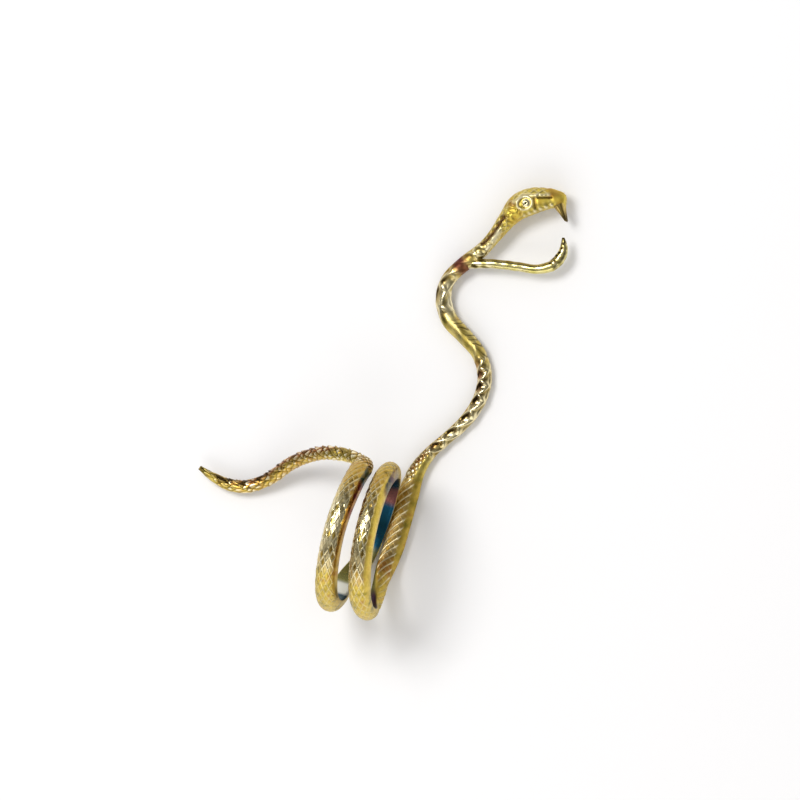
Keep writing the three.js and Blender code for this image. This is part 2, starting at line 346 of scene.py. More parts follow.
# By turn: how far the net reaches from the middle line of the back to either side, the length and width
# of its diamonds, the strength of its second family of lines and their width in mm; then how brown the
# ground is, how much painted shade and painted highlight it carries, how brightly its lines are painted,
# how much they are sunk as dark grooves instead, how far the painted reflection of the belly has crept up
# the flank that faces the neck, and how dull the whole is.
CHASING = rows(
    "turn one_way other_way long broad second fine brown dark pale bright inked stained dull",
    (0, 2.4, 2.4, 1.0, 0.8, 1, 0.1, 0.6, 0, 0.7, 0, 1, 0, 0),
    (24, 2.4, 2.0, 1.0, 0.8, 1, 0.1, 0.6, 0, 0.7, 0, 1, 0.3, 0),
    (29, 2.0, 1.3, 1.3, 0.8, 0.6, 0.09, 0.45, 0.2, 0, 0.1, 0.3, 1, 0.08),
    (40, 2.0, 1.1, 1.4, 0.9, 0.3, 0.09, 0.5, 0.1, 0, 0.35, 0.2, 1, 0.08),
    (52, 2.1, 1.1, 1.5, 0.9, 0.35, 0.1, 0.5, 0.3, 0, 0.9, 0, 0.9, 0.05),
    (63, 2.1, 1.1, 1.6, 0.85, 0.8, 0.12, 0.35, 0.6, 0.2, 1.0, 0, 0.9, 0.04),
    (72, 2.1, 1.1, 1.7, 0.85, 1, 0.13, 0.1, 0.85, 1.0, 1.1, 0, 0.8, 0.06),
    (96, 2.1, 1.2, 1.75, 0.85, 1, 0.12, 0.2, 0.8, 0.9, 1.1, 0, 0.5, 0.06),
    (102, 2.1, 1.3, 1.8, 0.9, 1, 0.12, 0.4, 0.55, 0.7, 1.0, 0, 0.4, 0.08),
    (116, 2.1, 1.4, 1.8, 0.9, 1, 0.12, 0.35, 0.4, 0.4, 1.0, 0, 0.3, 0.12),
    (124, 2.1, 1.5, 2.0, 0.95, 1, 0.09, 0, 0.12, 0, 0.4, 0, 0.3, 0.12),
    (180, 2.1, 1.9, 2.0, 0.95, 1, 0.09, 0, 0.1, 0, 0.35, 0, 0.1, 0.12),
    (330, 1.9, 1.9, 1.8, 0.95, 1, 0.09, 0.1, 0.2, 0, 0.4, 0, 0.1, 0.06),
    (350, 2.0, 1.7, 1.3, 0.95, 1, 0.08, 0.15, 0, 0, 0, 0.5, 0.1, 0.1),
    (380, 2.0, 1.5, 1.3, 0.95, 1, 0.08, 0.2, 0, 0, 0, 0.5, 0.9, 0.1),
    (395, 1.9, 1.0, 1.5, 0.95, 0.4, 0.09, 0.35, 0.15, 0, 0.1, 0.25, 1, 0.1),
    (403, 1.9, 0.8, 1.6, 0.95, 0.35, 0.09, 0.45, 0.12, 0, 0.5, 0, 0.8, 0.1),
    (415, 2.0, 0.7, 1.6, 0.9, 0.5, 0.12, 0.45, 0.35, 0, 1.0, 0, 0, 0.04),
    (427, 2.0, 0.75, 1.6, 0.85, 0.9, 0.13, 0.35, 0.75, 0, 1.0, 0, 0, 0.04),
    (434, 2.0, 0.8, 1.7, 0.85, 1, 0.12, 0.1, 0.95, 0.7, 1.1, 0, 0, 0.05),
    (456, 2.1, 0.85, 1.75, 0.85, 1, 0.12, 0.1, 0.9, 0.7, 1.1, 0, 0, 0.05),
    (462, 2.1, 1.0, 1.8, 0.9, 1, 0.12, 0.4, 0.65, 0.5, 1.0, 0, 0, 0.08),
    (478, 2.1, 1.0, 1.8, 0.9, 1, 0.12, 0.45, 0.55, 0.3, 1.0, 0, 0, 0.12),
    (488, 2.1, 1.3, 2.0, 0.95, 1, 0.09, 0, 0.12, 0, 0.4, 0, 0, 0.12),
    (540, 2.1, 1.9, 2.0, 0.95, 1, 0.09, 0, 0.1, 0, 0.35, 0, 0, 0.12),
    (585, 0.6, 2.0, 1.2, 0.95, 0.1, 0.09, 0, 0, 0, 0.3, 0, 0, 0.3),
    (600, 0.3, 2.1, 1.2, 0.95, 0.12, 0.08, 0.3, 0, 0, 0.8, 0, 0, 0.3),
    (606, 0.15, 2.2, 1.2, 0.95, 0.12, 0.08, 0.95, 0.1, 0, 0.8, 0, 0, 0.3),
    (613, 0.15, 2.2, 1.2, 0.95, 0.15, 0.08, 0.75, 0.05, 0, 1.0, 0, 0, 0.3),
    (622, 0.15, 2.2, 1.2, 0.95, 0.2, 0.08, 0.45, 0.05, 0.25, 1.1, 0, 0, 0.3),
    (630, 0.15, 2.2, 1.2, 0.95, 0.2, 0.08, 0.5, 0.08, 0.1, 1.1, 0, 0, 0.3),
)
BEAD = 0.2  # radius of the bead that ends each line of the neck's root, mm
BEADS_BEGIN = (590, 605)  # the turns between which the beads rise
# Painted reflections on the polished belly, from its first turn to its last: navy, purple, maroon,
# olive and a white patch among the brass.
GOLD_INSIDE = "B49C50"
OLIVE = "84804A"
MAUVE = "744A48"
NAVY = "1A4A62"
PURPLE = "442840"
MAROON = "7A3438"
WINE = "4A1C22"
INK = "08202C"
SILVER = "E8E8DC"
TWO_TURNS = 720
BELLY_REFLECTIONS = [
    (turn / TWO_TURNS, colour)
    for turn, colour in (
        (24, PURPLE),
        (30, NAVY),
        (42, NAVY),
        (48, MAROON),
        (120, MAROON),
        (140, GOLD_INSIDE),
        (170, GOLD_INSIDE),
        (182, NAVY),
        (200, NAVY),
        (204, SILVER),
        (219, SILVER),
        (223, OLIVE),
        (260, OLIVE),
        (267, NAVY),
        (304, NAVY),
        (309, MAUVE),
        (325, MAUVE),
        (332, NAVY),
        (350, NAVY),
        (357, GOLD_INSIDE),
        (380, WINE),
        (390, WINE),
        (393, INK),
        (410, INK),
        (420, GOLD_INSIDE),
        (520, GOLD_INSIDE),
        (535, NAVY),
        (552, PURPLE),
        (575, PURPLE),
        (585, OLIVE),
    )
]
CLOUD_SIZE = 1.5  # of the drifting tones, mm
CLOUD_SPAN = (0.3, 0.7)  # where nearly all of the cloud noise lies
GRAIN_SIZE = 0.16  # of the cast grain left under the polish, mm
GRAIN_DEEP = 0.012
GRAIN_STRENGTH = 0.3
BLUSH = "A0642E"
# Painted highlights, nearly white.
PAINTED_HIGHLIGHT = "FFF4CC"
# Painted shade, with tarnish in the hollows.
SHADE_AND_TARNISH = "38280F"


def carried(line, angles):
    """The skin's points: at each station a half ellipse above the widest line, and below it an ellipse
    squared off as the belly gets flatter, stood square to the path. Also how far round each point
    lies from the middle line of the back, as a length, positive on the side of angle 0."""
    ahead = heading(line["middle"])
    back = squared_up(line["back"], ahead)
    side = np.cross(ahead, back)
    wide, thick, belly = (line[name][:, None] for name in ("wide", "thick", "belly"))
    across, rise = np.cos(angles)[None, :], np.sin(angles)[None, :]
    power = np.interp(belly, (FLAT_BELLY, ROUND), (0.5, 1))
    over = rise >= 0
    x = wide / 2 * np.where(over, across, np.sign(across) * abs(across) ** power)
    low = -belly * thick * abs(rise) ** power
    y = (belly - 0.5) * thick + np.where(over, (1 - belly) * thick * rise, low)
    points = line["middle"][:, None] + side[:, None] * x[..., None] + back[:, None] * y[..., None]
    round_length = (np.pi / 2 - angles)[None, :] * (wide / 2 + (1 - belly) * thick) / 2
    return points, round_length


def sunk(points, depth):
    """The same points, each let in by its depth square to the skin."""
    along = np.gradient(points, axis=0)
    around = np.roll(points, -1, axis=1) - np.roll(points, 1, axis=1)
    square = np.cross(along, around)
    square /= np.linalg.norm(square, axis=2, keepdims=True)
    return points - square * depth[..., None]


def closed_tube(name, points, readings, material):
    """A mesh of rings joined by quads and closed at each end by a fan, with the readings kept on its
    points. The rim of each fan is a sharp edge, so that two tubes end to end shade as one."""
    rings, sides = points.shape[:2]
    ends = points[[0, -1]].mean(axis=1)
    places = np.concatenate((points.reshape(-1, 3), ends)) * MM + COIL_CENTRE
    here = np.arange((rings - 1) * sides).reshape(rings - 1, sides)
    beside = np.roll(here, -1, axis=1)
    quads = np.stack((here, here + sides, beside + sides, beside), -1).reshape(-1, 4)
    rim, last = here[0], here[0] + (rings - 1) * sides
    first_fan = np.stack((np.full(sides, rings * sides), rim, np.roll(rim, -1)), -1)
    last_fan = np.stack((np.full(sides, rings * sides + 1), np.roll(last, -1), last), -1)
    mesh = bpy.data.meshes.new(name)
    mesh.from_pydata(places.tolist(), [], quads.tolist() + first_fan.tolist() + last_fan.tolist())
    mesh.shade_smooth()
    ends_of = np.empty(len(mesh.edges) * 2, int)
    mesh.edges.foreach_get("vertices", ends_of)
    ring_of = ends_of.reshape(-1, 2) // sides
    rims = (ring_of[:, 0] == ring_of[:, 1]) & np.isin(ring_of[:, 0], (0, rings - 1))
    mesh.edges.foreach_set("use_edge_sharp", rims)
    for reading, values in readings.items():
        kept = mesh.attributes.new(reading, "FLOAT", "POINT")
        full = np.concatenate((np.broadcast_to(values, (rings, sides)).ravel(), (0, 0)))
        kept.data.foreach_set("value", full.astype(np.float32))
    mesh.materials.append(material)
    piece = bpy.data.objects.new(name, mesh)
    bpy.context.scene.collection.objects.link(piece)
    return piece


def cast_brass(name, tones, gloss, turn_colours=None):
    """Yellow brass, cast and hand polished: a warm metal in drifting tones, browned where its readings
    say, whitened with painted highlights and darkened with painted shade and some tarnish where they
    say. gloss gives the roughness of its brightest and dullest places. The colours by turn, when given,
    are painted over the skin where its readings say, by the turn that it has reached: painted reflections
    on the coil's polished belly, and the dark red of the throat."""
    material = bpy.data.materials.new(name)
    material.use_nodes = True
    tree = material.node_tree
    shader = tree.nodes["Principled BSDF"]
    shader.inputs["Metallic"].default_value = 1.0
    place = add(tree, "TexCoord").outputs["Object"]
    cloud = add(tree, "TexNoise", {"Vector": place, "Scale": 1 / (CLOUD_SIZE * MM), "Detail": 4.0})
    tone = add(tree, "ValToRGB", {"Fac": cloud.outputs["Fac"]})
    set_stops(tone, tones)
    shade = tone.outputs["Color"]
    # Browned, then whitened by painted highlights, then darkened by painted shade and tarnish, as the
    # readings say.
    for reading, colour in (("blush", BLUSH), ("painted_highlight", PAINTED_HIGHLIGHT), ("shade_and_tarnish", SHADE_AND_TARNISH)):
        share = add(tree, "Attribute", attribute_name=reading).outputs["Fac"]
        mixed = add(tree, "MixRGB", {"Fac": share, "Color1": shade, "Color2": linear(colour)})
        shade = mixed.outputs["Color"]
    if turn_colours:
        inside = add(tree, "Attribute", attribute_name="inside").outputs["Fac"]
        turned = add(tree, "Attribute", attribute_name="turned").outputs["Fac"]
        colours = add(tree, "ValToRGB", {"Fac": turned})
        set_stops(colours, turn_colours)
        mixed = add(tree, "MixRGB", {"Fac": inside, "Color1": shade, "Color2": colours.outputs["Color"]})
        shade = mixed.outputs["Color"]
    tree.links.new(shade, shader.inputs["Base Color"])
    seen_as = {"From Min": CLOUD_SPAN[0], "From Max": CLOUD_SPAN[1], "To Min": gloss[0], "To Max": gloss[1]}
    rough = add(tree, "MapRange", {"Value": cloud.outputs["Fac"], **seen_as})
    satin = add(tree, "Attribute", attribute_name="satin").outputs["Fac"]
    dulled = add(tree, "Math", {0: rough.outputs["Result"], 1: satin}, operation="ADD", use_clamp=True)
    tree.links.new(dulled.outputs["Value"], shader.inputs["Roughness"])
    grain = add(tree, "TexNoise", {"Vector": place, "Scale": 1 / (GRAIN_SIZE * MM), "Detail": 2.0})
    relief = {"Strength": GRAIN_STRENGTH, "Distance": GRAIN_DEEP * MM}
    bump = add(tree, "Bump", {"Height": grain.outputs["Fac"], **relief})
    tree.links.new(bump.outputs["Normal"], shader.inputs["Normal"])
    return material


def near_line(steps):
    """How far, as a share of a step, each value is from the nearest whole number."""
    return abs(steps - np.round(steps))


def eased(low, high, value):
    """0 below low, 1 above high, and a smooth cubic between."""
    t = np.clip((value - low) / (high - low), 0, 1)
    return t * t * (3 - 2 * t)


def lot(rows_passed, columns_passed):
    """A value from 0 to 1 for each scale of a net, much as if drawn by lot: the fraction left of a large
    multiple of the sine of its two counts, each with its own weight."""
    first, second = np.floor(rows_passed + columns_passed), np.floor(rows_passed - columns_passed)
    return (np.sin(12.9898 * first + 78.233 * second) * 4375.85) % 1


def stretch(line, low, high):
    """The stations of a line from one row to another."""
    first, last = np.searchsorted(line["row"], (low, high))
    return {name: column[first : last + 1] for name, column in line.items()}


def finish_piece(piece):
    """Every piece is part of the one casting, so it rides on its body."""
    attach(piece, "root")


coil_angles = np.radians(
    np.concatenate(
        (
            np.linspace(-12, 192, BACK_SIDES, endpoint=False),
            np.linspace(192, 348, BELLY_SIDES, endpoint=False),
        )
    )
)
belly_share = eased(0.3, 0.5, -np.sin(coil_angles))[None, :]


def read_off(table, places):
    """Every column of a table at the given places along its first one, straight from row to row."""
    along = next(iter(table.values()))
    return {name: np.interp(places, along, column)[:, None] for name, column in table.items()}


body["diamonds"] = np.cumsum(FINE_STEP / read_off(CHASING, body["turn"])["long"][:, 0])


def netted(diamonds, across_diamonds, second, width):
    """The net: 1 on its lines and 0 between, and the distance from the nearest line as a share of a
    diamond. Its lines are where diamonds passed, less or plus diamonds across, is a whole number; the
    plus family is weaker by its given strength."""
    rising, falling = near_line(diamonds - across_diamonds), near_line(diamonds + across_diamonds)
    line = np.maximum(np.exp(-((rising / width) ** 2)), second * np.exp(-((falling / width) ** 2)))
    return line, np.minimum(rising, falling + (1 - second) * 0.5)


def met(depth, part, row):
    """The depth, eased near a joint to the one cut that the two pieces share there."""
    joint = np.interp(row, body["row"], body["passed"])
    away = eased(0, JOINT_REACH, abs(part["passed"] - joint))[:, None]
    return JOINT_DEEP + (depth - JOINT_DEEP) * away


for name, low, high in (("first_turn", 0, TURN_SPLIT), ("second_turn", TURN_SPLIT, COIL_END)):
    part = stretch(body, low, high)
    points, across = carried(part, coil_angles)
    here = read_off(CHASING, part["turn"])
    # The spacing of the lines square to themselves, so that every line is as wide in millimetres.
    spacing = 1 / np.hypot(1 / here["long"], 1 / here["broad"])
    diamonds, columns = part["diamonds"][:, None], across / here["broad"]
    line, apart = netted(diamonds, columns, here["second"], here["fine"] / spacing)
    beyond = np.maximum(across - here["one_way"], -across - here["other_way"])
    chased = 1 - eased(-0.2, 0.15, beyond)
    bead = eased(*BEADS_BEGIN, here["turn"]) * line * np.exp(-(((across - 0.05) / BEAD) ** 2))
    scale_lot = lot(diamonds, columns)
    # Hand chasing leaves each dark diamond leaning its own way, so that no two catch the light alike.
    lean = (scale_lot - 0.5) * ((diamonds + columns) % 1 - 0.5)
    lean = lean + ((7 * scale_lot) % 1 - 0.5) * ((diamonds - columns) % 1 - 0.5)
    depth = LINE_HEIGHT * (1 - line) - PILLOW * eased(0.06, 0.3, apart)
    depth = depth + TILT * np.clip(here["dark"], 0, 1) * lean * eased(0.05, 0.2, apart)
    cut = 1 - eased(0.03, 0.2, apart)
    depth = (1 - here["inked"]) * depth + here["inked"] * LINE_HEIGHT * cut
    depth = depth * chased + 0.5 * LINE_HEIGHT * (1 - chased) - 0.07 * bead
    # Painted reflection of the belly, crept up the flank that faces the neck.
    crept = here["stained"] * eased(1.0, 1.4, -across) * (0.7 + 0.5 * scale_lot)
    # Painted highlight: pale diamonds where the key light is reflected.
    pale = here["pale"] * (1 - line) * chased * eased(0.2, 0.45, scale_lot)
    # Painted shade: dark slits beside the lines of the lit diamonds.
    shade_and_tarnish = here["dark"] * chased * (1 - line) * (1 - 0.85 * eased(0.09, 0.24, apart))
    ground = here["brown"] * (1.1 - 0.5 * line - 0.3 * scale_lot) * (0.3 + 0.7 * chased)
    # Painted highlights on the lines, the beads and the pale diamonds.
    painted_highlight = 0.9 * here["bright"] * line * chased + pale * eased(0.1, 0.3, apart) + bead
    readings = {
        "shade_and_tarnish": np.clip(shade_and_tarnish + here["inked"] * cut * chased, 0, 1),
        "blush": np.clip(ground, 0, 1),
        "painted_highlight": np.clip(painted_highlight, 0, 1),
        "satin": here["dull"] * (1 - 0.6 * line * chased),
        "inside": np.clip(np.maximum(belly_share, crept), 0, 1),
        "turned": part["turn"][:, None] / TWO_TURNS,
    }
    tones = [(0.3, "948A34"), (0.42, "C6AC48"), (0.55, "DEC45C"), (0.7, "C89E48")]
    brass = cast_brass(name + "_brass", tones, (0.14, 0.3), BELLY_REFLECTIONS)
    skin = sunk(points, met(depth, part, COIL_END))
    piece = closed_tube(name, skin, readings, brass)
    finish_piece(piece)
    if name == "first_turn":
        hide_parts("snake")

# ---- Neck
# The same casting goes on as a round stem, carved with large rimmed scales that wind round it but for a
# plain strip along its left edge. Its root keeps small knobbed scales, one stretch is smooth but for a
# feathered edge, and the throat is dark red. The scales are painted as if lit from the upper left: painted
# shade in a dark crescent under each rim and on the upper-left side, a painted highlight on the lower right.
NECK_SIDES = 108
NECK_END = COIL_ROWS + 14.2
ROOT_COLUMNS = 8
ROOT_SCALE = 0.95
round_angles = np.linspace(0, 2 * np.pi, NECK_SIDES, endpoint=False)
# By row of the neck: a scale's length and how deep it is dished, how far the scales have wound round, the
# strength of the second family of rims and their width, how brown the scales are, how much painted shade
# and painted highlight they carry, how bright their rims are painted and how dull the whole.
NECK_SCALES = rows(
    "row long deep wound second rim brown dark pale bright dull",
    (1.6, 1.2, 0.12, 0.0, 1, 0.13, 0.5, 0.6, 0, 0.8, 0.15),
    (2.4, 1.4, 0.16, 0.0, 1, 0.13, 0.6, 0.9, 0, 0.9, 0.1),
    (3.1, 2.2, 0.22, 0.0, 1, 0.15, 0.8, 1.0, 0.3, 0.9, 0.08),
    (3.5, 2.5, 0.26, 0.0, 0.9, 0.15, 0.7, 1.2, 0.4, 1.0, 0.08),
    (4.2, 2.8, 0.26, 0.05, 0.9, 0.16, 0.45, 1.2, 1.1, 1.0, 0.08),
    (5.6, 2.7, 0.24, 0.1, 0.9, 0.16, 0.6, 1.2, 1.1, 1.0, 0.08),
    (6.2, 2.0, 0.22, 0.15, 0.8, 0.13, 0.8, 1.5, 0.8, 1.0, 0.05),
    (7.0, 1.9, 0.2, 0.2, 0.9, 0.14, 0.9, 1.2, 0.6, 1.0, 0.05),
    (7.6, 1.5, 0.1, 0.25, 0.6, 0.14, 0.6, 0.5, 0.2, 0.9, 0.1),
    (8.0, 2.0, 0.06, 0.3, 0.1, 0.14, 0, 0.1, 0.2, 0.3, 0.2),
    (9.9, 4.4, 0.05, 0.5, 0.2, 0.14, 0, 0.05, 0.4, 0.3, 0.2),
    (10.4, 3.2, 0.2, 0.6, 0.9, 0.14, 0.2, 1.0, 1.3, 1.1, 0.12),
    (11.8, 2.8, 0.22, 0.9, 0.9, 0.14, 0.4, 1.0, 1.3, 1.1, 0.12),
    (12.4, 2.6, 0.16, 1.0, 0.8, 0.14, 0.4, 0.6, 0.3, 0.7, 0.15),
    (12.8, 2.0, 0.1, 1.0, 0.5, 0.14, 0.4, 0.5, 0, 0, 0.25),
    (13.4, 1.8, 0.12, 1.0, 0.5, 0.14, 0.5, 0.5, 0, 0.3, 0.2),
    (13.8, 1.6, 0.16, 1.0, 1, 0.14, 0.1, 0.5, 0.6, 0.9, 0.1),
    (14.2, 1.6, 0.14, 1.0, 1, 0.14, 0.2, 0.4, 0.5, 0.8, 0.1),
)
FEATHER_GAP = 0.95
THROAT_RED = "6A2A30"


def toward(points, line, way):
    """How squarely each point of a skin looks along a direction, from -1 to 1."""
    outward = points - line["middle"][:, None]
    return (outward @ np.array(way)) / np.linalg.norm(outward, axis=2)


def from_top(points, line):
    """How far round the stem each point lies from straight up, in half turns, positive to the right."""
    right = np.cross(heading(line["middle"]), (0, 0, 1))
    outward = points - line["middle"][:, None]
    return np.arctan2(np.sum(outward * right[:, None], axis=2), outward[..., 2]) / np.pi


part = stretch(body, COIL_END, NECK_END)
points, _ = carried(part, round_angles)
neck_row = part["row"] - COIL_ROWS
here = read_off(NECK_SCALES, neck_row)
diamonds = np.cumsum(FINE_STEP / here["long"])[:, None]
columns = from_top(points, part) + here["wound"]
# The net is skewed, so that one family of rims winds along the stem and the other nearly crosses it.
skewed = diamonds - 0.5 * columns
line, apart = netted(skewed, columns, here["second"], here["rim"])
under_rim = eased(0.35, 0.8, (skewed - columns) % 1)
lower_right = eased(-0.25, 0.35, toward(points, part, (0.85, -0.45, 0.1)))
side_on = 0.3 + 0.7 * eased(0.15, 0.6, abs(toward(points, part, (0, 0, 1))))
left_edge = eased(0.75, 0.92, toward(points, part, (-0.85, 0.45, 0.1)))
carved = (1 - line) * (1 - left_edge)
feathered = eased(7.4, 7.9, neck_row)[:, None] * (1 - eased(9.4, 10.0, neck_row)[:, None])
right_side = eased(0.3, 0.55, toward(points, part, (0.8, 0.5, 0.2)))
slant = 2.2 * toward(points, part, (0.8, 0.5, 0.3)) + 0.22 * np.sin(1.9 * part["passed"])[:, None]
barb = near_line(part["passed"][:, None] / FEATHER_GAP + slant)
barbs = feathered * right_side * np.exp(-((barb / 0.13) ** 2))
depth = here["deep"] * carved * side_on * (0.5 + 0.5 * eased(0.05, 0.4, apart)) + 0.03 * left_edge
# Painted shade: darkest under each rim and on the stem's upper-left side, away from the light.
shade_and_tarnish = here["dark"] * carved * (0.2 + 0.8 * under_rim) * (0.35 + 0.65 * (1 - lower_right))
scale_lot = lot(skewed, columns)
# Painted highlight: palest on the stem's lower-right side, which faces the light; rims painted bright too.
pale = here["pale"] * carved * (1 - 0.85 * under_rim) * (0.3 + 0.7 * lower_right) * (0.6 + 0.5 * scale_lot)
painted_highlight = 0.7 * here["bright"] * line * (1 - left_edge) + 0.8 * pale
# Browner on the stem's upper-left side, partly as painted shade.
ground = here["brown"] * (1.1 - 0.5 * line - 0.3 * scale_lot) * (1.15 - 0.85 * lower_right)
# The root still has the small knobbed scales of the tail, on its left side only, with painted highlights
# on the knobs and painted shade in the gaps between them.
near_coil = 1 - eased(2.5, 3.2, neck_row)[:, None]
root = near_coil * (1 - eased(-0.15, 0.25, toward(points, part, (0.95, -0.25, 0))))
plain = near_coil - root
root_rows = part["passed"][:, None] / ROOT_SCALE
root_columns = ROOT_COLUMNS / 2 * from_top(points, part)
knob = eased(0.06, 0.26, netted(root_rows, root_columns, 1, 0.1)[1])
root_lot = lot(root_rows, root_columns)
carvings = 1 - root - plain
depth = carvings * depth + root * 0.2 * (1 - knob) + 0.05 * plain + 0.09 * barbs
shade_and_tarnish = carvings * shade_and_tarnish + root * (0.25 + 0.4 * root_lot) * (1 - knob)
painted_highlight = carvings * painted_highlight + root * knob * (0.25 + 0.7 * eased(0.3, 0.7, root_lot))
ground = carvings * ground + root * 0.9 * (1.25 - root_lot)
reddened = eased(12.35, 12.75, neck_row) * (1 - eased(12.95, 13.4, neck_row))
readings = {
    "shade_and_tarnish": np.clip(shade_and_tarnish + 0.8 * barbs + 0.15 * left_edge, 0, 1),
    "blush": np.clip(ground * (1 - 0.6 * left_edge), 0, 1),
    "painted_highlight": np.clip(painted_highlight, 0, 1),
    "satin": here["dull"] + 0.12 * plain,
    "inside": np.clip(reddened[:, None] * (0.7 + 0.35 * scale_lot), 0, 1),
    "turned": 0,
}
tones = [(0.3, "988C38"), (0.45, "C8B052"), (0.6, "DCCA72"), (0.72, "C4A050")]
neck_brass = cast_brass("neck_brass", tones, (0.12, 0.26), [(0, THROAT_RED)])
skin = sunk(points, met(met(depth, part, COIL_END), part, NECK_END))
piece = closed_tube("neck", skin, readings, neck_brass)
finish_piece(piece)

# ---- Head
# The skull and upper jaw, cast with the neck and alike on both sides: scaled crown, padded cheek, a ridge
# over the eye and a slit before it, a dark groove behind the cheek, a row of lip scales and a smooth blunt
# snout. Painted highlights whiten the eye's rim, the brow, the ridge over the slit, the lip scales, the
# crown's plate lines and raised pads along the nape; painted shade darkens the slit, the crease, the groove,
# the pit by the cheek's knob, the gaps between lip scales and between plates, and the socket.
HEAD_SIDES = 180
HEAD_STEP = 0.05
SOCKET_X, SOCKET_Y = 6.6, 48.8  # the middle of the eye socket
MOUTH_SLOPE = np.radians(37)  # the line of the mouth, from the finger's axis
SKIN_DEEP = 0.16
PLATE_LENGTH = 1.05
PLATE_COLUMNS = 10
head_angles = np.linspace(0, 2 * np.pi, HEAD_SIDES, endpoint=False)
part = evenly(stretch(body, NECK_END, body["row"][-1]), HEAD_STEP)
points, _ = carried(part, head_angles)
# Places on the cheek, from the middle of the socket: ahead along the line of the mouth, and up from it.
to_right, to_crown = points[..., 0] - SOCKET_X, points[..., 1] - SOCKET_Y
forward = to_right * np.cos(MOUTH_SLOPE) + to_crown * np.sin(MOUTH_SLOPE)
upward = to_crown * np.cos(MOUTH_SLOPE) - to_right * np.sin(MOUTH_SLOPE)
on_cheek = eased(0.2, 0.55, abs(np.cos(head_angles)))[None, :]


def stroke(start, end, width):
    """1 along the straight line between two places on the cheek, falling off as a bell curve."""
    run = np.subtract(end, start)
    t = np.clip(((forward - start[0]) * run[0] + (upward - start[1]) * run[1]) / (run @ run), 0, 1)
    gap = np.hypot(forward - start[0] - t * run[0], upward - start[1] - t * run[1])
    return np.exp(-((gap / width) ** 2)) * on_cheek


almond = np.hypot(forward / 1.02, upward / 0.9)
rim = np.exp(-(((almond - 1) / 0.15) ** 2)) * on_cheek
socket = (1 - eased(0.72, 0.92, almond)) * on_cheek
brow = np.maximum(stroke((-1.3, 0.7), (0.1, 1.3), 0.24), stroke((0.1, 1.3), (1.75, 0.5), 0.24))
slit = stroke((1.95, 0.1), (3.6, -0.55), 0.12)
pale = stroke((1.95, 0.5), (3.4, -0.05), 0.22)
crease = stroke((1.5, 0.1), (1.15, -1.1), 0.22)
knob = stroke((-1.45, -1.25), (-1.4, -1.2), 0.34)
pit = stroke((-1.1, -1.75), (-1.5, -1.95), 0.16)
behind_cheek = np.maximum(stroke((-3.5, -0.6), (-5.6, -2.0), 0.34), stroke((-5.6, -2.0), (-7.5, -2.7), 0.38))
behind_cheek = np.maximum(behind_cheek, stroke((-7.5, -2.7), (-8.8, -3.3), 0.3))
# A painted highlight along raised pads on the nape.
bright_nape = np.maximum(stroke((-4.7, -2.2), (-6.0, -3.1), 0.42), stroke((-6.6, -3.5), (-8.0, -4.3), 0.42))
lips = stroke((-0.6, -1.45), (3.3, -1.5), 0.4)
beads = (0.5 + 0.5 * np.cos(2 * np.pi * forward / 0.8)) * (0.6 + 0.4 * np.cos(2 * np.pi * upward / 0.8))
pads = np.cos(5 * forward + 1.6 * np.sin(3.1 * upward)) * np.cos(5.5 * upward + 1.5 * np.sin(2.7 * forward))
cheek = eased(-4.2, -2.4, forward) * (1 - eased(-0.9, -0.5, forward)) * on_cheek
plate_rows = part["passed"][:, None] / PLATE_LENGTH
plate_columns = PLATE_COLUMNS / 2 * head_angles[None, :] / np.pi
plate_line, plate_apart = netted(plate_rows, plate_columns, 1.0, 0.13)
crown = eased(0.2, 0.7, np.sin(head_angles))[None, :] * (1 - eased(3.0, 3.8, forward))
crown = crown * (1 - socket) * (1 - rim)
nape = (1 - eased(-3.4, -2.6, forward)) * (1 - behind_cheek) * (1 - bright_nape)
plated = np.clip(np.maximum(crown * (1 - brow), 0.8 * nape), 0, 1)
snout = eased(3.3, 3.9, forward)
depth = (
    SKIN_DEEP * (1 - 0.7 * snout)
    - 0.13 * rim
    + 0.1 * socket
    - 0.14 * brow
    + 0.22 * slit
    - 0.06 * pale
    + 0.14 * crease
    - 0.13 * knob
    + 0.2 * pit
    + 0.2 * behind_cheek
    - 0.13 * lips * beads
    - 0.12 * bright_nape
    - 0.09 * cheek * pads
    - 0.1 * plated * (plate_line - 0.3)
)
# Painted shade, with some tarnish, in the recesses.
shade_and_tarnish = 0.9 * slit + 0.3 * crease + 0.75 * behind_cheek + 0.8 * pit + 0.35 * lips * (1 - beads)
shade_and_tarnish = shade_and_tarnish + 0.5 * plated * (1 - plate_line) * (1 - eased(0.08, 0.3, plate_apart)) + 0.35 * socket
blush = 0.5 * snout * on_cheek * eased(-1.2, 0, upward) + 0.4 * cheek * eased(-0.5, 1.0, -pads)
blush = blush + 0.5 * crease + behind_cheek
# Painted highlights.
painted_highlight = 0.9 * rim + 0.6 * brow + 0.9 * lips * beads + 0.6 * pale + 0.4 * plated * plate_line
painted_highlight = painted_highlight + bright_nape
readings = {
    "shade_and_tarnish": np.clip(shade_and_tarnish, 0, 1),
    "blush": np.clip(blush, 0, 1),
    "painted_highlight": np.clip(painted_highlight, 0, 1),
    "satin": 0.16 + 0.1 * snout - 0.05 * bright_nape,
}
tones = [(0.3, "C0A63C"), (0.45, "E2CC5C"), (0.6, "DCC052"), (0.7, "C8A044")]
skin = sunk(points, met(np.maximum(depth, 0), part, NECK_END))
piece = closed_tube("head", skin, readings, cast_brass("head_brass", tones, (0.2, 0.34)))
finish_piece(piece)

